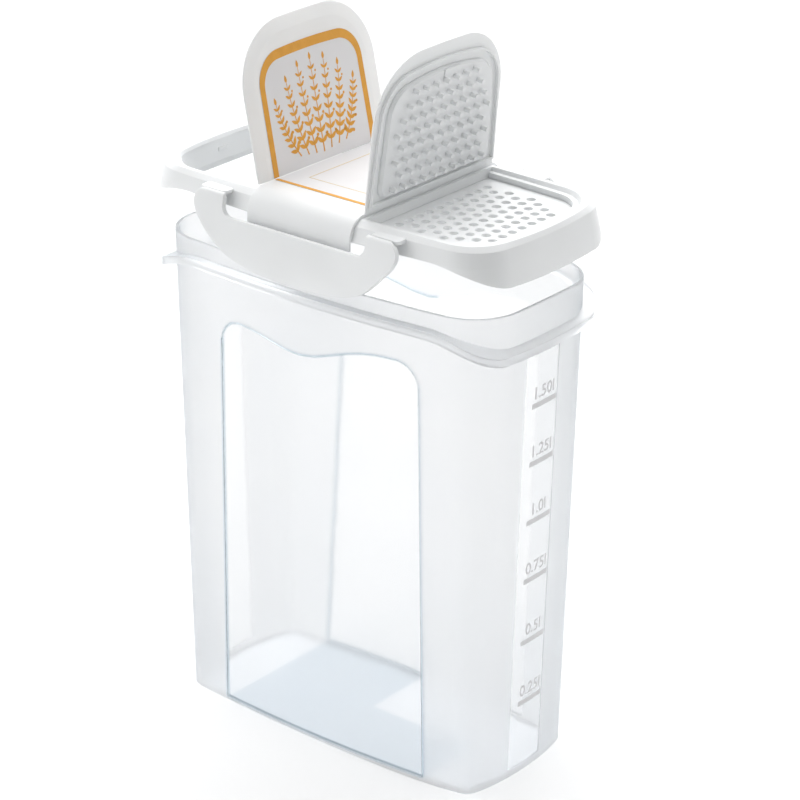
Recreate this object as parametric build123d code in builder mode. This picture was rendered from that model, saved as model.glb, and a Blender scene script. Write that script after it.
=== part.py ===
from build123d import *
import math
import os
from collections import namedtuple

os.makedirs("parts", exist_ok=True)

# A dry-food container with a shaker lid. Millimetres, +Z up, origin at the centre of the base.
# +X points to the sieve end, -Y to the front. The lid is held clear of the rim, with both flaps
# open and both locking wings swung a little way out.

# Plan outline: a rounded rectangle whose four sides bulge outwards.
Outline = namedtuple("Outline", "half_length half_width end_bulge side_bulge corner_radius")

# Container
body_height = 196.3
base_plan = Outline(74.3, 33.9, 3.9, 4.1, 6.5)
rim_plan = Outline(79.4, 40.0, 0.55, 5.3, 20.6)
wall = 1.4
floor = 1.6
base_chamfer = 1.0
foot_height = 0.8
foot_width = 3.0
rim_round = 0.5

# Flange that the lid rests on and locks under: level along the sides, falling at the ends
flange_plan = Outline(81.9, 43.5, 1.7, 5.7, 15.3)
flange_top = 190.5
flange_depth = 3.2
flange_shelf = 1.4
flange_lip = 1.3
flange_level_half = 53.0
flange_fall_radius = 50.0
flange_room = 13.0

# Window panels, recessed into the long sides under a waved top edge
window_depth = 0.6
window_foot = 2.0
window_foot_half = 49.8
window_left = (-45.0, 157.0)
window_left_corner = (-42.6, 165.2)
window_left_peak = (-37.0, 168.6)
window_dip = (-5.0, 164.5)
window_right_peak = (38.5, 174.2)
window_right_corner = (47.4, 171.4)
window_right = (50.3, 163.0)

# Polished strip down the middle of each end
strip_half = 9.8
strip_bottom = 4.0
strip_top = 178.0
strip_depth = 0.12

# Lid heights, from where each part lies when the lid is seated on the container
lid_lift = 26.5
ring_top = 198.1 + lid_lift
plate_top = 199.5 + lid_lift
shoulder = 196.3 + lid_lift
skirt_level = 190.8 + lid_lift
skirt_low = 181.5 + lid_lift
plug_low = 188.0 + lid_lift

# Lid frame
deck = 1.5
ring_plan = Outline(80.6, 38.5, 6.0, 1.0, 17.2)
shoulder_plan = Outline(81.6, 41.6, 4.2, 3.6, 17.0)
skirt_plan = Outline(82.3, 44.0, 3.2, 5.6, 17.0)
skirt_low_plan = Outline(83.5, 44.2, 1.7, 5.7, 16.8)
skirt_wall = 1.3
skirt_level_half = 55.0
skirt_fall_radius = 51.0
plug_clearance = 0.3
plug_wall = 1.1
plug_draft = 0.5
opening_top_plan = Outline(77.2, 37.2, 4.6, 1.6, 16.5)
opening_plan = Outline(76.6, 36.8, 4.0, 3.2, 16.0)
opening_x = 25.9
cross_wall = 1.6
catch_size = (1.2, 5.0, 1.6)
catch_x = -76.6
catch_z = 192.6 + lid_lift

# Bridge between the two openings, rolled down to the skirt at the front and the back
hinge_x = 24.3
bridge_flat_half = 36.0
bridge_foot_half = 44.5
bridge_wall = 1.5
apron_low = 187.4 + lid_lift
apron_wall = 0.7

# Sieve
ledge_width = 1.9
sieve_top = ring_top - 3.7
sieve_plate_depth = 1.3
hole_diameter = 3.5
hole_columns = 8
hole_first_x = 32.0
hole_pitch_x = 5.1
hole_pitch_y = 5.75
hole_limit_y = 27.0
hole_taper_x = 53.0
hole_taper = 0.6

# Flaps, given closed
flap_plan = Outline(81.7, 37.1, 1.2, 0.4, 25.0)
flap_gap = 0.15
flap_under = ring_top + 0.2
flap_border_drop = 0.6
flap_border = 5.2
rib_gap = 0.45
rib_wall = 0.9
rib_depth = 1.3
rib_hinge_x = 27.0
pad_inset = 4.3
pad_depth = 1.6
pad_hinge_x = 28.8
pad_corner = 5.0
pad_chamfer = 0.9
peg_diameter = 1.8
peg_reach = 0.4
pad_tab = (3.0, 9.0, 0.8)
pad_tab_x = 70.2
pad_tab_y = 4.0
pour_tab = (1.2, 9.0, 5.2)
pour_tab_x = 75.1
pour_open = 78.0
shaker_open = 84.0

# Locking wings, given closed
wing_wall = 2.0
wing_inner_y = 44.7
wing_top = 196.6 + lid_lift
wing_round = 1.4
wing_under_lug = 195.1 + lid_lift
wing_bottom = 195.0
wing_curl_top = 211.5
wing_curl = 4.5
wing_edge = ((44.2, wing_top), (46.7, 221.1), (47.9, 217.8), (46.9, 214.4), (42.5, 209.0),
             (33.4, 201.0), (20.0, 196.4), (0, wing_bottom))
slot_half = 33.8
slot_floor = 188.1 + lid_lift
slot_corner = 4.0
hook_top = 186.9 + lid_lift
hook_half = 29.6
hook_depth = 1.5
hook_reach = 3.1
wing_swing = 10.0
lug_inner_x = 34.5
lug_outer_x = 46.9
lug_corner = 1.6
lug_y = 45.0
lug_gap = 0.3
lug_root_y = 39.6
lug_top = wing_top + 0.1
lug_depth = 1.3

# Printed film
film = 0.12
film_half_width = 29.3
film_end_x = 70.9
film_end_bulge = 1.6
film_side_bulge = 0.4
film_corner = 13.0
film_hinge_gap = 0.4


def inset(plan, amount):
    """The same outline drawn in evenly."""
    return Outline(plan.half_length - amount, plan.half_width - amount, plan.end_bulge,
                   plan.side_bulge, plan.corner_radius - amount)


def body_plan(height):
    """Outer outline of the container's wall at a height."""
    share = height / body_height
    return Outline(*(low + (high - low) * share for low, high in zip(base_plan, rim_plan)))


def face_of(plan):
    """The outline as a face."""
    x = plan.half_length - plan.end_bulge
    y = plan.half_width - plan.side_bulge
    with BuildSketch() as face:
        with BuildLine():
            ThreePointArc((-x, -y), (0, -plan.half_width), (x, -y))
            ThreePointArc((x, -y), (plan.half_length, 0), (x, y))
            ThreePointArc((x, y), (0, plan.half_width), (-x, y))
            ThreePointArc((-x, y), (-plan.half_length, 0), (-x, -y))
        make_face()
        fillet(face.vertices(), plan.corner_radius)
    return face.sketch


def stacked(levels, ruled=True):
    """Solid through outlines at rising heights, given as (height, outline) pairs."""
    with BuildPart() as form:
        for height, plan in levels:
            with BuildSketch(Plane.XY.offset(height)):
                add(face_of(plan))
        loft(ruled=ruled)
    return form.part


def upright(plan, low, high):
    """Straight-sided solid on one outline."""
    with BuildPart() as form:
        with BuildSketch(Plane.XY.offset(low)):
            add(face_of(plan))
        extrude(amount=high - low)
    return form.part


def beyond(form, x):
    """The part of a form on the +X side of a cut."""
    with BuildPart() as kept:
        add(form)
        split(bisect_by=Plane.YZ.offset(x), keep=Keep.TOP)
    return kept.part


def waved_band(level, depth, level_half, radius, reach):
    """Band that is level in the middle and falls on an arc towards both ends, along all of Y."""
    swing = math.degrees(math.asin((reach - level_half) / radius))
    fall = radius - radius * math.cos(math.radians(swing))
    with BuildPart() as band:
        with BuildSketch(Plane.XZ):
            with BuildLine():
                for top in (level, level - depth):
                    Line((-level_half, top), (level_half, top))
                    CenterArc((level_half, top - radius), radius, 90, -swing)
                    CenterArc((-level_half, top - radius), radius, 90, swing)
                for x in (-reach, reach):
                    Line((x, level - fall), (x, level - fall - depth))
            make_face()
        extrude(amount=body_height / 2, both=True)
    return band.part


# Container wall, and skins that recesses are cut from
outer_form = stacked(((0, base_plan), (body_height, rim_plan)))
above = body_height + floor
cavity = stacked(((floor, inset(body_plan(floor), wall)), (above, inset(body_plan(above), wall))))


def wall_skin(depth):
    """Layer of the wall that reaches a depth in from its outer face."""
    with BuildPart() as skin:
        add(stacked(((0, inset(base_plan, -depth)), (body_height, inset(rim_plan, -depth)))))
        add(stacked(((0, inset(base_plan, depth)), (body_height, inset(rim_plan, depth)))),
            mode=Mode.SUBTRACT)
    return skin.part


# Window recess in the front wall
with BuildPart() as window_recess:
    add(wall_skin(window_depth))
    with BuildSketch(Plane.XZ):
        with BuildLine():
            left_edge = Line((-window_foot_half, window_foot), window_left)
            ThreePointArc(window_left, window_left_corner, window_left_peak)
            Spline(window_left_peak, window_dip, window_right_peak, tangents=((1, 0), (1, 0)))
            ThreePointArc(window_right_peak, window_right_corner, window_right)
            right_edge = Line(window_right, (window_foot_half, window_foot))
            Line(right_edge @ 1, left_edge @ 0)
        make_face()
    extrude(amount=body_height, mode=Mode.INTERSECT)

# Strip recess in the +X end wall
with BuildPart() as strip_recess:
    add(wall_skin(strip_depth))
    with BuildSketch(Plane.YZ):
        with Locations((0, (strip_bottom + strip_top) / 2)):
            Rectangle(2 * strip_half, strip_top - strip_bottom)
    extrude(amount=body_height, mode=Mode.INTERSECT)

# Flange: a shelf with a lip that hangs down around it
flange_reach = flange_plan.half_length + floor
flange_span = (flange_top - flange_room, flange_top + flange_depth)
with BuildPart() as flange_form:
    add(upright(flange_plan, *flange_span))
    add(waved_band(flange_top, flange_depth, flange_level_half, flange_fall_radius, flange_reach),
        mode=Mode.INTERSECT)

with BuildPart() as flange_hollow:
    add(upright(inset(flange_plan, flange_lip), *flange_span))
    add(waved_band(flange_top - flange_shelf, flange_depth, flange_level_half,
                   flange_fall_radius, flange_reach), mode=Mode.INTERSECT)

with BuildPart() as container_body:
    add(flange_form.part)
    add(flange_hollow.part, mode=Mode.SUBTRACT)
    add(outer_form)
    chamfer(container_body.faces().sort_by(Axis.Z)[0].edges(), base_chamfer)
    add(cavity, mode=Mode.SUBTRACT)
    add(window_recess.part, mode=Mode.SUBTRACT)
    add(mirror(window_recess.part, about=Plane.XZ), mode=Mode.SUBTRACT)
    add(strip_recess.part, mode=Mode.SUBTRACT)
    add(mirror(strip_recess.part, about=Plane.YZ), mode=Mode.SUBTRACT)
    add(upright(inset(base_plan, foot_width), 0, foot_height), mode=Mode.SUBTRACT)
    fillet(container_body.faces().sort_by(Axis.Z)[-1].edges(), rim_round)
container_body.part.label = "container_body"
export_step(container_body.part, "parts/container_body.step")


# Lid frame: skirt and deck
deck_under = ring_top - deck
lid_levels = ((skirt_low, skirt_low_plan), (skirt_level, skirt_plan), (shoulder, shoulder_plan))
inner_levels = tuple((height, inset(plan, skirt_wall)) for height, plan in lid_levels)
skirt_reach = skirt_low_plan.half_length + skirt_wall
skirt_height = plate_top - skirt_low + deck
rim_inner = inset(rim_plan, wall)
plug_plan = inset(rim_inner, plug_clearance)

skirt_outer = stacked(lid_levels + ((ring_top, ring_plan),))
skirt_inner = stacked(inner_levels + ((deck_under, inner_levels[-1][1]),))
plug_top = ring_top - deck / 2
plug_outer = stacked(((plug_low, inset(plug_plan, plug_draft)), (plug_top, plug_plan)))
plug_inner = stacked(((plug_low, inset(plug_plan, plug_draft + plug_wall)),
                      (plug_top, inset(plug_plan, plug_wall))))
opening = stacked(((deck_under, opening_plan), (ring_top, opening_top_plan),
                   (plate_top, opening_top_plan)))


def bridge_face(foot_half, top):
    """Section of the bridge: a flat top whose ends roll down on quarter ellipses."""
    with BuildSketch() as section:
        with BuildLine():
            Line((-bridge_flat_half, top), (bridge_flat_half, top))
            for side, start in ((1, 0), (-1, 90)):
                EllipticalCenterArc((side * bridge_flat_half, skirt_level),
                                    foot_half - bridge_flat_half, top - skirt_level,
                                    start_angle=start, arc_size=90)
            Line((-foot_half, skirt_level), (foot_half, skirt_level))
        make_face()
    return section.sketch


# The bridge's front and back walls reach down outside the flange as thin aprons
apron_height = skirt_level - apron_low
apron_y = bridge_foot_half - apron_wall / 2
with BuildPart() as bridge_form:
    with BuildSketch(Plane.YZ):
        add(bridge_face(bridge_foot_half, plate_top))
        with Locations((-apron_y, apron_low), (apron_y, apron_low)):
            Rectangle(apron_wall, apron_height, align=(Align.CENTER, Align.MIN))
    extrude(amount=hinge_x, both=True)

with BuildPart() as bridge_hollow:
    with BuildSketch(Plane.YZ):
        add(bridge_face(bridge_foot_half - bridge_wall, plate_top - bridge_wall))
    extrude(amount=hinge_x - bridge_wall, both=True)

# Sieve recess, the ledge around it, and a cross wall on each side of the bridge
sieve_low = sieve_top - sieve_plate_depth
sieve_recess = beyond(upright(inset(opening_plan, ledge_width), sieve_low, plug_top), opening_x)
plug_block = upright(plug_plan, sieve_low, plug_top)

with BuildPart() as sieve_ledge:
    add(beyond(plug_block, opening_x - cross_wall))
    add(sieve_recess, mode=Mode.SUBTRACT)

with BuildPart() as pour_cross_wall:
    add(plug_block)
    with BuildSketch(Plane.XY.offset(sieve_low)):
        with Locations((cross_wall / 2 - opening_x, 0)):
            Rectangle(cross_wall, 2 * plug_plan.half_width)
    extrude(amount=plug_top - sieve_low, mode=Mode.INTERSECT)

with BuildPart() as plug:
    add(plug_outer)
    add(plug_inner, mode=Mode.SUBTRACT)
    add(sieve_ledge.part)
    add(pour_cross_wall.part)

# Lugs that the locking wings hang from
with BuildPart() as lugs:
    with BuildSketch(Plane.XY.offset(lug_top)):
        with GridLocations(lug_inner_x + lug_outer_x, lug_root_y + lug_y, 2, 2):
            RectangleRounded(lug_outer_x - lug_inner_x, lug_y - lug_root_y, lug_corner)
    extrude(amount=-lug_depth)

with BuildPart() as lid_frame:
    add(skirt_outer)
    add(waved_band(skirt_level + skirt_height, skirt_height, skirt_level_half,
                   skirt_fall_radius, skirt_reach), mode=Mode.INTERSECT)
    add(bridge_form.part)
    add(skirt_inner, mode=Mode.SUBTRACT)
    add(bridge_hollow.part, mode=Mode.SUBTRACT)
    add(plug.part)
    add(lugs.part)
    add(beyond(opening, opening_x), mode=Mode.SUBTRACT)
    add(mirror(beyond(opening, opening_x), about=Plane.YZ), mode=Mode.SUBTRACT)
    with Locations((catch_x, 0, catch_z)):
        Box(*catch_size)
lid_frame.part.label = "lid_frame"
export_step(lid_frame.part, "parts/lid_frame.step")


def hole_places():
    """Centres of the sieve's holes: staggered columns that shorten towards the end."""
    rows = math.ceil(hole_limit_y / hole_pitch_y)
    places = []
    for column in range(hole_columns):
        x = hole_first_x + column * hole_pitch_x
        limit = hole_limit_y - hole_taper * max(0, x - hole_taper_x)
        stagger = (column + 1) % 2 / 2
        heights = [(row + stagger) * hole_pitch_y for row in range(-rows, rows)]
        places += [(x, y) for y in heights if abs(y) <= limit]
    return places


with BuildPart() as sieve_plate:
    add(sieve_recess)
    split(bisect_by=Plane.XY.offset(sieve_top), keep=Keep.BOTTOM)
    with BuildSketch(Plane.XY.offset(sieve_low)):
        with Locations(*hole_places()):
            Circle(hole_diameter / 2)
    extrude(amount=sieve_plate_depth, mode=Mode.SUBTRACT)
sieve_plate.part.label = "sieve_plate"
export_step(sieve_plate.part, "parts/sieve_plate.step")


# Flaps, built closed over the +X opening
flap_edge_top = plate_top - flap_border_drop
flap_shell = beyond(stacked(((flap_under, flap_plan), (flap_edge_top, flap_plan),
                             (plate_top, inset(flap_plan, flap_border)))), hinge_x + flap_gap)
rib_low = flap_under - rib_depth
rib_plan = inset(opening_plan, rib_gap)

with BuildPart() as closed_flap:
    add(beyond(upright(rib_plan, rib_low, flap_under), rib_hinge_x))
    add(beyond(upright(inset(rib_plan, rib_wall), rib_low, flap_under), rib_hinge_x + rib_wall),
        mode=Mode.SUBTRACT)
    add(flap_shell)

pad_low = flap_under - pad_depth
peg_length = pad_low - sieve_top + peg_reach
with BuildPart() as closed_shaker_flap:
    add(beyond(upright(inset(opening_plan, pad_inset), pad_low, flap_under), pad_hinge_x))
    fillet(closed_shaker_flap.edges().filter_by(Axis.Z).group_by(Axis.X)[0], pad_corner)
    chamfer(closed_shaker_flap.faces().sort_by(Axis.Z)[0].edges(), pad_chamfer)
    with BuildSketch(Plane.XY.offset(pad_low)):
        with Locations(*hole_places()):
            Circle(peg_diameter / 2)
    extrude(amount=-peg_length)
    with Locations((pad_tab_x, pad_tab_y, pad_low)):
        Box(*pad_tab)
    add(closed_flap.part)

with BuildPart() as closed_pour_flap:
    add(closed_flap.part)
    with Locations((pour_tab_x, 0, flap_under)):
        Box(*pour_tab, align=(Align.CENTER, Align.CENTER, Align.MAX))

# Printed film, built closed on the +X flap
film_plan = Outline(film_end_x, film_half_width, film_end_bulge, film_side_bulge, film_corner)
closed_film = beyond(upright(film_plan, plate_top, plate_top + film), hinge_x + film_hinge_gap)

hinge_line = Axis((hinge_x, 0, plate_top), (0, -1, 0))
with BuildPart() as shaker_flap:
    add(closed_shaker_flap.part.rotate(hinge_line, shaker_open))
shaker_flap.part.label = "shaker_flap"
export_step(shaker_flap.part, "parts/shaker_flap.step")

with BuildPart() as pour_flap:
    add(mirror(closed_pour_flap.part.rotate(hinge_line, pour_open), about=Plane.YZ))
pour_flap.part.label = "pour_flap"
export_step(pour_flap.part, "parts/pour_flap.step")

with BuildPart() as shaker_label:
    add(closed_film.rotate(hinge_line, shaker_open))
shaker_label.part.label = "shaker_label"
export_step(shaker_label.part, "parts/shaker_label.step")

with BuildPart() as pour_label:
    add(mirror(closed_film.rotate(hinge_line, pour_open), about=Plane.YZ))
pour_label.part.label = "pour_label"
export_step(pour_label.part, "parts/pour_label.step")

with BuildPart() as bridge_label:
    with BuildSketch(Plane.XY.offset(plate_top)):
        Rectangle(2 * (hinge_x - film_hinge_gap), 2 * film_half_width)
    extrude(amount=film)
bridge_label.part.label = "bridge_label"
export_step(bridge_label.part, "parts/bridge_label.step")


# Locking wing, built closed at the front: its outline seen from the front, and its section,
# which curls in at the bottom and rounds over at the top, in front of the lugs
wing_outer_y = wing_inner_y + wing_wall
wing_hinge_y = lug_y + lug_gap
with BuildPart() as wing_section:
    with BuildSketch(Plane.YZ):
        with BuildLine():
            outer = Line((-wing_outer_y, wing_top - wing_round), (-wing_outer_y, wing_curl_top))
            outer_curl = TangentArc(outer @ 1, (wing_curl - wing_outer_y, wing_bottom),
                                    tangent=outer % 1)
            inner = Line((-wing_inner_y, wing_under_lug), (-wing_inner_y, wing_curl_top))
            inner_curl = TangentArc(inner @ 1, (wing_curl - wing_inner_y, wing_bottom),
                                    tangent=inner % 1)
            Line(outer_curl @ 1, inner_curl @ 1)
            Polyline((-wing_hinge_y, wing_top), (-wing_hinge_y, wing_under_lug), inner @ 0)
            TangentArc(outer @ 0, (-wing_hinge_y, wing_top), tangent=(0, 1))
        make_face()
    extrude(amount=body_height, both=True)

with BuildPart() as closed_wing:
    with BuildSketch(Plane.XZ):
        with BuildLine():
            left_side = [(-x, z) for x, z in wing_edge[:-1]]
            rim_curve = Spline(*left_side, *reversed(wing_edge))
            Line(rim_curve @ 1, rim_curve @ 0)
        make_face()
    extrude(amount=wing_outer_y)
    add(wing_section.part, mode=Mode.INTERSECT)
    with BuildSketch(Plane.XZ) as slot:
        with Locations((0, (slot_floor + wing_top) / 2 + slot_corner)):
            Rectangle(2 * slot_half, wing_top - slot_floor + 2 * slot_corner)
        fillet(slot.vertices(), slot_corner)
    extrude(amount=wing_outer_y + wing_wall, mode=Mode.SUBTRACT)
    with Locations((0, hook_reach / 2 - wing_inner_y, hook_top - hook_depth / 2)):
        Box(2 * hook_half, hook_reach, hook_depth)

wing_axis_y = lug_y + lug_gap / 2
wing_line = Axis((0, -wing_axis_y, wing_top), (-1, 0, 0))
with BuildPart() as front_lock_wing:
    add(closed_wing.part.rotate(wing_line, wing_swing))
front_lock_wing.part.label = "front_lock_wing"
export_step(front_lock_wing.part, "parts/front_lock_wing.step")

with BuildPart() as rear_lock_wing:
    add(mirror(front_lock_wing.part, about=Plane.XZ))
rear_lock_wing.part.label = "rear_lock_wing"
export_step(rear_lock_wing.part, "parts/rear_lock_wing.step")
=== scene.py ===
import math

import bmesh
import bpy
from mathutils import Matrix, Vector
from mathutils.bvhtree import BVHTree


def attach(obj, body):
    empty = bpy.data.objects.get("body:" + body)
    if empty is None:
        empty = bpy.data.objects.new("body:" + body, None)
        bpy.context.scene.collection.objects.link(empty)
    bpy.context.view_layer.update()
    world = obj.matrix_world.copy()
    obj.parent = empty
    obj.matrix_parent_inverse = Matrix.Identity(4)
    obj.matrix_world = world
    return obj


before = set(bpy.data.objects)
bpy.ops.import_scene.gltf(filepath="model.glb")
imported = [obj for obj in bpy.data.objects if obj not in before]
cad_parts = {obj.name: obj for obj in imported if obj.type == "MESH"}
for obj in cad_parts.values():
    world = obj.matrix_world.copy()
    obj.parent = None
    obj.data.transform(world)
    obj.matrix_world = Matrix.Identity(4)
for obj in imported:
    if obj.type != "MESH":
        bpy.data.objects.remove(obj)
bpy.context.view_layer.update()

scene = bpy.context.scene
MM = 0.001
WHITE = (1.0, 1.0, 1.0)

# A distance in metres that is larger than the object: it stands for no limit, and rays start there
FAR = 1.0

# Camera, placed by its angle round the object
AZIMUTH = math.radians(38.912)
ELEVATION = math.radians(23.636)
ROLL = math.radians(0.409)
DISTANCE = 1.1883
TARGET = Vector((0.0121, 0.0, 0.1380))
LENS = 141.19
SENSOR = 36.0

# Surround: white, and greyer towards the camera and the sieve end
DARK_SIDE = (0.66, -0.71, -0.22)
DARK_FROM = -0.35
DARK_TO = 0.70
SURROUND_BRIGHT = 1.30
SURROUND_DARK = 0.22

# Lamps: name, place and side of the square in metres, and power in watts
LAMPS = (("back_light", (-0.5, 0.7, 1.6), 1.2, 18.0),
         ("left_light", (-0.7, -1.2, 0.5), 0.8, 2.4))

# Floor: half its side in metres, its two shades and the light that it gives off
FLOOR_HALF = 6.0
FLOOR_SHADES = ((0.75, 0.75, 0.75), (0.77, 0.77, 0.77))
FLOOR_GLOW = 0.06

# Window panels in the container's long sides, in millimetres: straight edges and how soft they are,
# and the width of the line round them, with the softness of its own ends
WINDOW_FOOT = 2.0
WINDOW_LEFT = -49.9
WINDOW_LEFT_SLANT = 0.031
WINDOW_RIGHT = 50.1
WINDOW_SOFTNESS = 0.4
EDGE_WIDTH = 1.1
EDGE_END_SOFTNESS = 1.0

# Waved top of the windows, in millimetres: its ends, and the heights between which it is looked for
# on the mesh, in small steps, as the place where the wall stands out again
WAVE_FROM = -44.9
WAVE_TO = 50.2
WAVE_COLUMNS = 20
WAVE_BOTTOM = 150.0
WAVE_TOP = 180.0
WAVE_STEP = 0.1
STANDS_OUT = 0.3

# Polished strips down the container's ends, in millimetres
STRIP_HALF = 9.8
STRIP_BOTTOM = 4.0
STRIP_TOP = 178.0
STRIP_SIDE_SOFTNESS = 0.3
STRIP_END_SOFTNESS = 0.6
END_WALL_X = 60.0
END_WALL_SOFTNESS = 1.0

# Container's plastic: colour, roughness and transmission, first where it is frosted, then where it
# is clear, and how far the roughness wanders to either side
FROSTED = (0.930, 0.936, 0.942)
CLEAR = (0.927, 0.930, 0.933)
WALL_ROUGHNESS = (0.36, 0.09)
WALL_TRANSMISSION = (0.84, 0.96)
WALL_IOR = 1.36
ROUGHNESS_SWING = 0.03

# Tints that the container's colour is multiplied by: cloudiness, the windows' outline, painted shade
# darker towards the bottom, ending at a height in millimetres, the base plate, and what is seen at a
# grazing angle
CLOUDINESS = (0.985, 0.988, 0.992)
WINDOW_EDGE = (0.62, 0.70, 0.76)
FOOT_PAINTED_SHADE = (0.955, 0.960, 0.965)
PAINTED_SHADE_TOP = 110.0
BASE_PLATE = (0.945, 0.940, 0.940)
PLATE_THICKNESS = 2.2
PLATE_SOFTNESS = 0.3
GRAZING = (0.74, 0.79, 0.83)
GRAZING_FROM = 0.40
LAMP_LIGHT_THROUGH = (0.968, 0.970, 0.972)

# Darker and lighter shade of the lid's plastic, the film and the inks
PLASTIC_SHADES = ((0.79, 0.803, 0.808), (0.84, 0.853, 0.858))
FILM_SHADES = ((0.69, 0.70, 0.72), (0.72, 0.73, 0.75))
ORANGE_SHADES = ((0.66, 0.31, 0.025), (0.73, 0.35, 0.035))
TAN_SHADES = ((0.62, 0.50, 0.28), (0.68, 0.56, 0.33))
GREY_SHADES = ((0.66, 0.66, 0.67), (0.71, 0.71, 0.72))

# Printed pieces, in millimetres: height over what they lie on, thickness, and points that are joined
PRINT_RAISE = 0.05
PRINT_DEPTH = 0.07
PRINT_JOIN = 0.002

# Litre marks on the end strip, in millimetres: height of each bar and the figures over it
LITRE_MARKS = ((31.1, "0.25l"), (57.2, "0.5l"), (83.4, "0.75l"), (107.9, "1.0l"), (132.0, "1.25l"),
               (155.4, "1.50l"))
BAR_FROM = -5.3
BAR_TO = 9.1
BAR_DEPTH = 2.1
BAR_STEPS = 8
FIGURE_HEIGHT = 4.9
FIGURE_WEIGHT = 0.012
FIGURE_GAP = 1.5

# Lid, in millimetres: hinge lines, how far the flaps are open, and the film on the closed flap
HINGE_X = 24.3
PLATE_TOP = 226.0
POUR_OPEN = math.radians(78.0)
SHAKER_OPEN = math.radians(84.0)
FILM_THICKNESS = 0.12
FILM_TOP = PLATE_TOP + FILM_THICKNESS
FILM_HINGE_GAP = 0.4
FILM_START = HINGE_X + FILM_HINGE_GAP
FILM_END = 70.9
FILM_HALF_WIDTH = 29.3
FILM_END_BULGE = 1.6
FILM_SIDE_BULGE = 0.4
FILM_CORNER = 13.0

# Borders, lines and writing box on the film, in millimetres
BORDER_SIDE = 2.7
BORDER_END = 3.6
BRIDGE_LINE = 1.6
BRIDGE_LINE_END = HINGE_X - FILM_HINGE_GAP
BOX_HALF_LENGTH = 16.0
BOX_HALF_WIDTH = 19.5
BOX_LINE = 0.35

# Leaf sprigs on the flaps, in millimetres: a fan of them, with its foot beside the hinge
SPRIG_COUNT = 3
SPRIG_FOOT = 27.5
SPRIG_FOOT_RISE = 0.5
SPRIG_STEP = 4.3
SPRIG_SPREAD = 7.3
SPRIG_TOP = 62.5
SPRIG_FALL = 1.35
SPRIG_LEAN = 0.9

# Stem of a sprig: its width, as a share of STEM_WIDTH at the foot, and what it loses on the way up
STEM_WIDTH = 0.55
STEM_FOOT_SHARE = 1.15
STEM_TAPER = 0.7

# Leaves of a sprig: first and last pair as shares of the stem, and how much smaller they get
LEAF_PAIRS = 8
LEAF_FIRST = 0.10
LEAF_LAST = 0.90
LEAF_SHRINK = 0.45
LEAF_ANGLE = math.radians(48.0)
LEAF_LENGTH = 4.3
LEAF_WIDTH = 1.7
LEAF_BELLY = 0.8
TIP_LEAF_LENGTH = 0.7 * LEAF_LENGTH
TIP_LEAF_WIDTH = 0.8 * LEAF_WIDTH
BERRY_RADIUS = 0.75
BERRY_ASIDE = 3.3
BERRY_BEHIND = 0.9

# Sockets of the Mix node for its factor, its two colours and its result
MIX_FACTOR = 0
MIX_FIRST = 6
MIX_SECOND = 7
MIX_RESULT = 2


def camera():
    """Camera that looks at the target from the object's front right."""
    back = Vector((math.cos(ELEVATION) * math.sin(AZIMUTH), -math.cos(ELEVATION) * math.cos(AZIMUTH),
                   math.sin(ELEVATION)))
    data = bpy.data.cameras.new("camera")
    data.lens = LENS
    data.sensor_width = SENSOR
    data.clip_end = 50.0
    obj = bpy.data.objects.new("camera", data)
    scene.collection.objects.link(obj)
    turn = back.to_track_quat("Z", "Y").to_matrix() @ Matrix.Rotation(ROLL, 3, "Z")
    obj.matrix_world = Matrix.Translation(TARGET + back * DISTANCE) @ turn.to_4x4()
    scene.camera = obj


def area_light(name, place, size, power):
    """Soft square light that faces the middle of the object."""
    data = bpy.data.lights.new(name, "AREA")
    data.shape = "SQUARE"
    data.size = size
    data.energy = power
    obj = bpy.data.objects.new(name, data)
    scene.collection.objects.link(obj)
    obj.location = place
    obj.rotation_euler = (Vector(place) - TARGET).to_track_quat("Z", "Y").to_euler()


def surround():
    """White surround that is greyer on one side."""
    world = bpy.data.worlds.new("studio")
    world.use_nodes = True
    tree = world.node_tree
    coordinates = tree.nodes.new("ShaderNodeTexCoord")
    facing = tree.nodes.new("ShaderNodeVectorMath")
    facing.operation = "DOT_PRODUCT"
    facing.inputs[1].default_value = DARK_SIDE
    tree.links.new(coordinates.outputs["Generated"], facing.inputs[0])
    shade = tree.nodes.new("ShaderNodeMapRange")
    shade.interpolation_type = "SMOOTHSTEP"
    shade.inputs["From Min"].default_value = DARK_FROM
    shade.inputs["From Max"].default_value = DARK_TO
    shade.inputs["To Min"].default_value = SURROUND_BRIGHT
    shade.inputs["To Max"].default_value = SURROUND_DARK
    tree.links.new(facing.outputs["Value"], shade.inputs["Value"])
    background = tree.nodes["Background"]
    background.inputs["Color"].default_value = (*WHITE, 1.0)
    tree.links.new(shade.outputs["Result"], background.inputs["Strength"])
    scene.world = world


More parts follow.
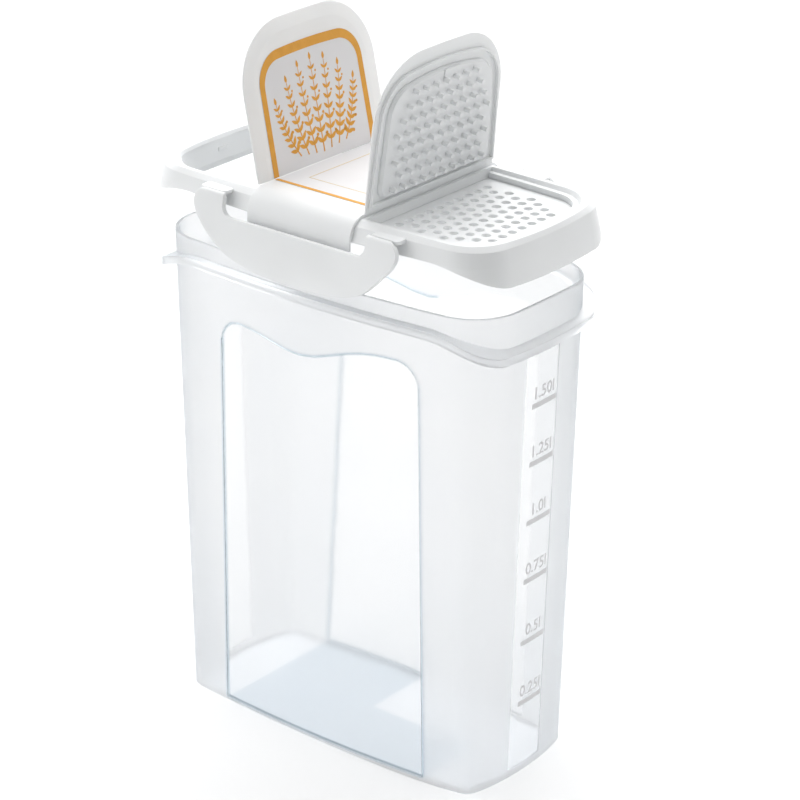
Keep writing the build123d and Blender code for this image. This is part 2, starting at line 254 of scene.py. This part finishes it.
class Shader:
    """A material's node tree, with short calls for the nodes that the materials here use."""

    def __init__(self, name):
        self.material = bpy.data.materials.new(name)
        self.material.use_nodes = True
        self.tree = self.material.node_tree
        self.main = self.tree.nodes["Principled BSDF"]
        self.coordinates = self.node("ShaderNodeTexCoord").outputs["Object"]

    def node(self, kind, **settings):
        """New node with its settings."""
        made = self.tree.nodes.new(kind)
        for key, value in settings.items():
            setattr(made, key, value)
        return made

    def link(self, source, target):
        """Join two sockets."""
        self.tree.links.new(source, target)

    def fix(self, name, value):
        """Set one of the main shader's sockets."""
        self.main.inputs[name].default_value = value

    def drive(self, name, source):
        """Link one of the main shader's sockets."""
        self.link(source, self.main.inputs[name])

    def math(self, operation, first, second=None):
        """Sum on one or two sockets or numbers."""
        made = self.node("ShaderNodeMath", operation=operation)
        for socket, value in zip(made.inputs, (first, second)):
            if isinstance(value, (int, float)):
                socket.default_value = value
            elif value is not None:
                self.link(value, socket)
        return made.outputs[0]

    def noise(self, scale, detail=2.0):
        """Noise over the object's own coordinates; scale is in features per metre."""
        made = self.node("ShaderNodeTexNoise")
        made.inputs["Scale"].default_value = scale
        made.inputs["Detail"].default_value = detail
        self.link(self.coordinates, made.inputs["Vector"])
        return made.outputs["Fac"]

    def ramp(self, source, low, high, start=0.0, end=1.0):
        """Colour that goes from low to high over a stretch of the source."""
        made = self.node("ShaderNodeValToRGB")
        for stop, place, colour in zip(made.color_ramp.elements, (start, end), (low, high)):
            stop.position = place
            stop.color = (*colour, 1.0)
        self.link(source, made.inputs["Fac"])
        return made.outputs["Color"]

    def cloudy(self, scale, low, high, detail=2.0):
        """Colour that wanders between two shades."""
        return self.ramp(self.noise(scale, detail), low, high, start=0.3, end=0.7)

    def times(self, first, second):
        """Two colours multiplied."""
        made = self.node("ShaderNodeMix", data_type="RGBA", blend_type="MULTIPLY")
        made.inputs[MIX_FACTOR].default_value = 1.0
        self.link(first, made.inputs[MIX_FIRST])
        self.link(second, made.inputs[MIX_SECOND])
        return made.outputs[MIX_RESULT]

    def spread(self, source, low, high):
        """Number between low and high as the source goes from 0 to 1."""
        made = self.node("ShaderNodeMapRange")
        made.inputs["To Min"].default_value = low
        made.inputs["To Max"].default_value = high
        self.link(source, made.inputs["Value"])
        return made.outputs["Result"]

    def between(self, value, low, high, softness):
        """Mask that is 1 where a value lies between two limits."""
        edges = []
        for limit, side in ((low, softness), (high, -softness)):
            made = self.node("ShaderNodeMapRange", interpolation_type="SMOOTHSTEP")
            made.inputs["From Min"].default_value = limit - side
            made.inputs["From Max"].default_value = limit + side
            self.link(value, made.inputs["Value"])
            edges.append(made.outputs["Result"])
        return self.math("MULTIPLY", *edges)

    def relief(self, scale, strength, depth, normal=None):
        """Normal of a slightly uneven surface; depth is in millimetres."""
        made = self.node("ShaderNodeBump")
        made.inputs["Strength"].default_value = strength
        made.inputs["Distance"].default_value = depth * MM
        self.link(self.noise(scale, 1.0), made.inputs["Height"])
        if normal is not None:
            self.link(normal, made.inputs["Normal"])
        return made.outputs["Normal"]

    def soft_edges(self, radius):
        """Normal that rounds the edges by a radius in millimetres."""
        made = self.node("ShaderNodeBevel", samples=4)
        made.inputs["Radius"].default_value = radius * MM
        return made.outputs["Normal"]

    def let_lamps_through(self, colour):
        """A lamp's light passes the wall, a little tinted, instead of being stopped by it."""
        path = self.node("ShaderNodeLightPath")
        clear = self.node("ShaderNodeBsdfTransparent")
        clear.inputs["Color"].default_value = (*colour, 1.0)
        mixed = self.node("ShaderNodeMixShader")
        self.link(path.outputs["Is Shadow Ray"], mixed.inputs[0])
        self.link(self.main.outputs[0], mixed.inputs[1])
        self.link(clear.outputs[0], mixed.inputs[2])
        self.link(mixed.outputs[0], self.tree.nodes["Material Output"].inputs["Surface"])


def moulded_plastic():
    """Satin white plastic: faint cloudiness, fine grain, slight swells and softened edges."""
    shader = Shader("white_plastic")
    shader.drive("Base Color", shader.cloudy(26.0, *PLASTIC_SHADES))
    shader.drive("Roughness", shader.spread(shader.noise(420.0), low=0.30, high=0.44))
    edges = shader.soft_edges(radius=0.35)
    grain = shader.relief(scale=2600.0, strength=0.10, depth=0.05, normal=edges)
    shader.drive("Normal", shader.relief(scale=60.0, strength=0.12, depth=0.6, normal=grain))
    shader.fix("Subsurface Weight", 0.35)
    shader.fix("Subsurface Radius", (1.0, 1.0, 0.95))
    shader.fix("Subsurface Scale", 1.6 * MM)
    shader.fix("IOR", 1.49)
    return shader.material


def printed_film():
    """Smooth film, very slightly lilac, that sits on the lid."""
    shader = Shader("printed_film")
    shader.drive("Base Color", shader.cloudy(40.0, *FILM_SHADES))
    shader.drive("Roughness", shader.spread(shader.noise(300.0), low=0.50, high=0.58))
    shader.drive("Normal", shader.relief(scale=90.0, strength=0.08, depth=0.2))
    return shader.material


def ink(name, low, high):
    """Printed colour, slightly uneven."""
    shader = Shader(name)
    shader.drive("Base Color", shader.cloudy(260.0, low, high, detail=3.0))
    shader.drive("Roughness", shader.spread(shader.noise(500.0), low=0.48, high=0.58))
    shader.drive("Normal", shader.relief(scale=1800.0, strength=0.06, depth=0.05))
    return shader.material


def container_rays():
    """Container's mesh in a form that rays can be cast at."""
    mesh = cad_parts["container_body"].data
    return BVHTree.FromPolygons([vertex.co for vertex in mesh.vertices],
                                [polygon.vertices for polygon in mesh.polygons])


def window_wave(tree):
    """Points along the windows' waved top, in millimetres, closer together towards its ends."""
    def front(x, z):
        return tree.ray_cast(Vector((x * MM, -FAR, z * MM)), Vector((0, 1, 0)))[0].y / MM

    steps = range(round((WAVE_TOP - WAVE_BOTTOM) / WAVE_STEP))
    heights = [WAVE_BOTTOM + WAVE_STEP * step for step in steps]
    points = []
    for column in range(WAVE_COLUMNS + 1):
        share = (1 - math.cos(math.pi * column / WAVE_COLUMNS)) / 2
        x = WAVE_FROM + (WAVE_TO - WAVE_FROM) * share
        stand_out = (z for z in heights if front(x, z) - front(x, z + WAVE_STEP) > STANDS_OUT)
        points.append((x, next(stand_out, WAVE_TOP)))
    return points


def wave_height(shader, wave, x):
    """Height of the windows' top across the wall, in metres."""
    low, high = wave[0][0], wave[-1][0]
    curve = shader.node("ShaderNodeFloatCurve")
    line = curve.mapping.curves[0]
    spots = [((across - low) / (high - low), up / WAVE_TOP) for across, up in wave]
    line.points[0].location = spots[0]
    line.points[-1].location = spots[-1]
    for spot in spots[1:-1]:
        line.points.new(*spot)
    for point in line.points:
        point.handle_type = "VECTOR"
    curve.mapping.update()
    across = shader.node("ShaderNodeMapRange")
    across.inputs["From Min"].default_value = low * MM
    across.inputs["From Max"].default_value = high * MM
    shader.link(x, across.inputs["Value"])
    shader.link(across.outputs["Result"], curve.inputs["Value"])
    return shader.math("MULTIPLY", curve.outputs["Value"], WAVE_TOP * MM)


def window_mask(shader, wave, x, z, softness):
    """Mask of the window panels, seen through the long sides; softness is in millimetres."""
    soft = softness * MM
    below = shader.math("SUBTRACT", wave_height(shader, wave, x), z)
    upright = shader.math("SUBTRACT", x, shader.math("MULTIPLY", z, WINDOW_LEFT_SLANT))
    mask = shader.between(upright, WINDOW_LEFT * MM, FAR, soft)
    for value, low, high in ((x, -FAR, WINDOW_RIGHT * MM), (below, 0.0, FAR),
                             (z, WINDOW_FOOT * MM, FAR)):
        mask = shader.math("MULTIPLY", mask, shader.between(value, low, high, soft))
    return mask


def window_edge_mask(shader, wave, x, y, z):
    """Mask of a line round the windows, left out where x and y are both above 0."""
    wide = window_mask(shader, wave, x, z, EDGE_WIDTH)
    # 4 w (1 - w) is 1 halfway across the soft edge and 0 on both sides of it
    rest = shader.math("SUBTRACT", 1.0, wide)
    line = shader.math("MULTIPLY", shader.math("MULTIPLY", wide, 4.0), rest)
    kept = shader.between(shader.math("MINIMUM", x, y), -FAR, 0.0, EDGE_END_SOFTNESS * MM)
    return shader.math("MULTIPLY", line, kept)


def strip_mask(shader, x, y, z):
    """Mask of the polished strips down the ends."""
    mask = shader.between(shader.math("ABSOLUTE", x), END_WALL_X * MM, FAR, END_WALL_SOFTNESS * MM)
    aside = shader.math("ABSOLUTE", y)
    for value, low, high, softness in ((aside, -FAR, STRIP_HALF * MM, STRIP_SIDE_SOFTNESS),
                                       (z, STRIP_BOTTOM * MM, STRIP_TOP * MM, STRIP_END_SOFTNESS)):
        mask = shader.math("MULTIPLY", mask, shader.between(value, low, high, softness * MM))
    return mask


def translucent_wall(tree):
    """Frosted translucent plastic, polished clear in the windows and down the end strips."""
    shader = Shader("translucent_wall")
    split = shader.node("ShaderNodeSeparateXYZ")
    shader.link(shader.coordinates, split.inputs[0])
    x, y, z = split.outputs
    wave = window_wave(tree)
    window = window_mask(shader, wave, x, z, WINDOW_SOFTNESS)
    clear = shader.math("MAXIMUM", window, strip_mask(shader, x, y, z))
    height = shader.math("DIVIDE", z, PAINTED_SHADE_TOP * MM)
    plate = shader.between(z, -FAR, PLATE_THICKNESS * MM, PLATE_SOFTNESS * MM)
    grazing = shader.node("ShaderNodeLayerWeight").outputs["Facing"]
    colour = shader.ramp(clear, FROSTED, CLEAR)
    for tint in (shader.cloudy(30.0, CLOUDINESS, WHITE),
                 shader.ramp(window_edge_mask(shader, wave, x, y, z), WHITE, WINDOW_EDGE),
                 # Painted shade: the walls get darker towards the bottom
                 shader.ramp(height, FOOT_PAINTED_SHADE, WHITE),
                 shader.ramp(plate, WHITE, BASE_PLATE),
                 shader.ramp(grazing, WHITE, GRAZING, start=GRAZING_FROM)):
        colour = shader.times(colour, tint)
    shader.drive("Base Color", colour)
    swing = shader.spread(shader.noise(900.0), low=-ROUGHNESS_SWING, high=ROUGHNESS_SWING)
    shader.drive("Roughness", shader.math("ADD", shader.spread(clear, *WALL_ROUGHNESS), swing))
    shader.drive("Transmission Weight", shader.spread(clear, *WALL_TRANSMISSION))
    shader.drive("Normal", shader.relief(scale=1500.0, strength=0.05, depth=0.1))
    shader.fix("IOR", WALL_IOR)
    shader.let_lamps_through(LAMP_LIGHT_THROUGH)
    return shader.material


def paint(nodes, material):
    """Give CAD nodes one material."""
    for name in nodes:
        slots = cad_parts[name].data.materials
        slots.clear()
        slots.append(material)


def floor():
    """Plain pale floor."""
    mesh = bpy.data.meshes.new("floor")
    corners = [(-FLOOR_HALF, -FLOOR_HALF, 0), (FLOOR_HALF, -FLOOR_HALF, 0),
               (FLOOR_HALF, FLOOR_HALF, 0), (-FLOOR_HALF, FLOOR_HALF, 0)]
    mesh.from_pydata(corners, [], [(0, 1, 2, 3)])
    obj = bpy.data.objects.new("floor", mesh)
    scene.collection.objects.link(obj)
    shader = Shader("floor")
    shader.drive("Base Color", shader.cloudy(3.0, *FLOOR_SHADES))
    shader.fix("Roughness", 0.8)
    shader.fix("Emission Color", (*WHITE, 1.0))
    shader.fix("Emission Strength", FLOOR_GLOW)
    mesh.materials.append(shader.material)


class Flat:
    """Flat shapes gathered in two coordinates, in millimetres, before they are laid on a surface."""

    def __init__(self):
        self.points = []
        self.faces = []

    def add(self, points, faces):
        """Points, and faces that count them from nought."""
        start = len(self.points)
        self.points += points
        self.faces += [tuple(start + corner for corner in face) for face in faces]

    def shape(self, outline):
        """One convex face."""
        self.add(outline, [range(len(outline))])

    def band(self, left, right):
        """Strip between two lines that have as many points."""
        count = len(left)
        self.add(left + right, [(step, step + 1, count + step + 1, count + step)
                                for step in range(count - 1)])

    def lay(self, name, body, material, place):
        """Thin printed piece on a surface; place gives the surface's point in millimetres."""
        mesh = bpy.data.meshes.new(name)
        mesh.from_pydata([place(*point) * MM for point in self.points], [], self.faces)
        work = bmesh.new()
        work.from_mesh(mesh)
        bmesh.ops.remove_doubles(work, verts=work.verts, dist=PRINT_JOIN * MM)
        outward = place(*self.points[0], raise_by=1.0) - place(*self.points[0])
        for face in work.faces:
            if face.normal.dot(outward) < 0:
                face.normal_flip()
        bmesh.ops.solidify(work, geom=work.faces[:], thickness=PRINT_DEPTH * MM)
        work.to_mesh(mesh)
        work.free()
        mesh.materials.append(material)
        obj = bpy.data.objects.new(name, mesh)
        scene.collection.objects.link(obj)
        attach(obj, body)


def film_outline(side, end, steps=14):
    """Outline of the film on the closed flap, drawn in from its sides and its end."""
    length = FILM_END - end
    width = FILM_HALF_WIDTH - side
    radius = FILM_CORNER - (side + end) / 2
    middle_y = width - FILM_SIDE_BULGE - radius
    bulge = FILM_END_BULGE / FILM_HALF_WIDTH ** 2
    middle_x = length - bulge * middle_y ** 2 - radius
    half = [(FILM_START, width)]
    for step in range(steps + 1):
        angle = math.pi / 2 * (1 - step / steps)
        half.append((middle_x + radius * math.cos(angle), middle_y + radius * math.sin(angle)))
    for step in range(1, steps):
        y = middle_y * (1 - step / steps)
        half.append((length - bulge * y * y, y))
    return half + [(length, 0.0)] + [(x, -y) for x, y in reversed(half)]


def leaf(flat, foot, angle, length, width, steps=6):
    """Pointed leaf from its foot."""
    along = Vector((math.cos(angle), math.sin(angle)))
    aside = Vector((-along.y, along.x))
    edges = []
    for side in (1, -1):
        edge = []
        for step in range(steps + 1):
            swell = math.sin(math.pi * (step / steps) ** LEAF_BELLY)
            edge.append(tuple(foot + along * (length * step / steps) + aside * (side * width / 2 * swell)))
        edges.append(edge)
    flat.band(*edges)


def disc(flat, middle, radius, steps=12):
    """Round berry."""
    flat.shape([(middle.x + radius * math.cos(2 * math.pi * step / steps),
                 middle.y + radius * math.sin(2 * math.pi * step / steps)) for step in range(steps)])


def sprig(flat, foot, top, lean):
    """Curved stem with leaves in pairs, berries between them and a leaf at its top."""
    middle = (foot + top) / 2 + Vector((0.0, lean))

    def along(share):
        return foot * (1 - share) ** 2 + middle * (2 * share * (1 - share)) + top * share ** 2

    def heading(start, end):
        return (along(min(1.0, end)) - along(max(0.0, start))).normalized()

    steps = 3 * LEAF_PAIRS
    left, right = [], []
    for step in range(steps + 1):
        share = step / steps
        ahead = heading(share - 0.01, share + 0.01)
        half_width = STEM_WIDTH / 2 * (STEM_FOOT_SHARE - STEM_TAPER * share)
        aside = Vector((-ahead.y, ahead.x)) * half_width
        left.append(tuple(along(share) + aside))
        right.append(tuple(along(share) - aside))
    flat.band(left, right)
    for pair in range(LEAF_PAIRS):
        share = LEAF_FIRST + (LEAF_LAST - LEAF_FIRST) * pair / (LEAF_PAIRS - 1)
        here = along(share)
        ahead = heading(share, share + 0.02)
        angle = math.atan2(ahead.y, ahead.x)
        size = 1.0 - LEAF_SHRINK * share
        for side in (1, -1):
            leaf(flat, here, angle + side * LEAF_ANGLE, LEAF_LENGTH * size, LEAF_WIDTH * size)
        if pair % 2:
            aside = Vector((-ahead.y, ahead.x))
            disc(flat, here + aside * (BERRY_ASIDE * size) - ahead * BERRY_BEHIND, BERRY_RADIUS * size)
    ahead = heading(0.97, 1.0)
    leaf(flat, top, math.atan2(ahead.y, ahead.x), TIP_LEAF_LENGTH, TIP_LEAF_WIDTH)


def flap_place(angle, mirrored):
    """Place on the film of an open flap, from the closed flap's coordinates."""
    def place(x, y, raise_by=0.0):
        reach = x - HINGE_X
        lift = FILM_TOP + PRINT_RAISE + raise_by - PLATE_TOP
        across = HINGE_X + reach * math.cos(angle) - lift * math.sin(angle)
        height = PLATE_TOP + reach * math.sin(angle) + lift * math.cos(angle)
        return Vector((-across if mirrored else across, y, height))
    return place


def bridge_place(x, y, raise_by=0.0):
    """Place on the film of the bridge."""
    return Vector((x, y, FILM_TOP + PRINT_RAISE + raise_by))


def end_wall_place(tree):
    """Place on the container's end wall, from a level and a height, found on its mesh."""
    def place(y, z, raise_by=0.0):
        hit = tree.ray_cast(Vector((FAR, y * MM, z * MM)), Vector((-1, 0, 0)))[0]
        return Vector((hit.x / MM + PRINT_RAISE + raise_by, y, z))
    return place


def flap_print(name, body, angle, mirrored, colour):
    """Border and leaf sprigs on a flap's film."""
    border = Flat()
    border.band(film_outline(0.0, 0.0), film_outline(BORDER_SIDE, BORDER_END))
    place = flap_place(angle, mirrored)
    border.lay(name + "_border", body, colour, place)
    sprigs = Flat()
    for step in range(-SPRIG_COUNT, SPRIG_COUNT + 1):
        foot = Vector((SPRIG_FOOT + SPRIG_FOOT_RISE * abs(step), SPRIG_STEP * step))
        top = Vector((SPRIG_TOP - SPRIG_FALL * step * step, SPRIG_SPREAD * step))
        sprig(sprigs, foot, top, SPRIG_LEAN * step)
    sprigs.lay(name + "_sprigs", body, colour, place)


def rectangle(half_x, half_y):
    """Corners of a rectangle round the middle, in turn."""
    return [(-half_x, -half_y), (half_x, -half_y), (half_x, half_y), (-half_x, half_y)]


def bridge_print(line_colour, box_colour):
    """Lines along the bridge's film and the outline of a writing box between them."""
    lines = Flat()
    middle = FILM_HALF_WIDTH - BRIDGE_LINE / 2
    for side in (1, -1):
        lines.shape([(x, y + side * middle) for x, y in rectangle(BRIDGE_LINE_END, BRIDGE_LINE / 2)])
    lines.lay("bridge_lines", "lid", line_colour, bridge_place)
    box = Flat()
    outer = rectangle(BOX_HALF_LENGTH, BOX_HALF_WIDTH)
    inner = rectangle(BOX_HALF_LENGTH - BOX_LINE, BOX_HALF_WIDTH - BOX_LINE)
    box.band(outer + outer[:1], inner + inner[:1])
    box.lay("writing_box", "lid", box_colour, bridge_place)


def letter_shapes(text):
    """Faces of a line of figures, as points and faces at the font's own size."""
    curve = bpy.data.curves.new("figures", "FONT")
    curve.body = text
    curve.resolution_u = 4
    curve.offset = FIGURE_WEIGHT
    letters = bpy.data.objects.new("figures", curve)
    scene.collection.objects.link(letters)
    mesh = bpy.data.meshes.new_from_object(letters.evaluated_get(bpy.context.evaluated_depsgraph_get()))
    points = [(vertex.co.x, vertex.co.y) for vertex in mesh.vertices]
    faces = [tuple(polygon.vertices) for polygon in mesh.polygons]
    bpy.data.objects.remove(letters)
    bpy.data.curves.remove(curve)
    bpy.data.meshes.remove(mesh)
    return points, faces


def figure_shapes(text, middle, foot):
    """Faces of a line of figures, in millimetres, scaled by the height of a nought."""
    heights = [y for x, y in letter_shapes("0")[0]]
    scale = FIGURE_HEIGHT / (max(heights) - min(heights))
    points, faces = letter_shapes(text)
    xs = [x for x, y in points]
    shift = (max(xs) + min(xs)) / 2
    return [(middle + (x - shift) * scale, foot + (y - min(heights)) * scale) for x, y in points], faces


def litre_scale(place, colour):
    """Bars and figures of the litre scale on the end strip."""
    bars = Flat()
    figures = Flat()
    run = [BAR_FROM + (BAR_TO - BAR_FROM) * step / BAR_STEPS for step in range(BAR_STEPS + 1)]
    for height, text in LITRE_MARKS:
        top = height + BAR_DEPTH / 2
        bars.band([(y, top) for y in run], [(y, top - BAR_DEPTH) for y in run])
        figures.add(*figure_shapes(text, (BAR_FROM + BAR_TO) / 2, top + FIGURE_GAP))
    bars.lay("scale_bars", "container", colour, place)
    figures.lay("scale_figures", "container", colour, place)


camera()
surround()
floor()
for lamp in LAMPS:
    area_light(*lamp)
scene.view_settings.view_transform = "Standard"

container_tree = container_rays()
white = moulded_plastic()
film = printed_film()
orange = ink("orange_ink", *ORANGE_SHADES)
tan = ink("tan_ink", *TAN_SHADES)
grey = ink("grey_ink", *GREY_SHADES)
paint(("lid_frame", "sieve_plate", "pour_flap", "shaker_flap", "front_lock_wing", "rear_lock_wing"),
      white)
paint(("pour_label", "bridge_label", "shaker_label"), film)
paint(("container_body",), translucent_wall(container_tree))

flap_print("pour", "pour_flap", POUR_OPEN, True, orange)
flap_print("shaker", "shaker_flap", SHAKER_OPEN, False, orange)
bridge_print(orange, tan)
litre_scale(end_wall_place(container_tree), grey)
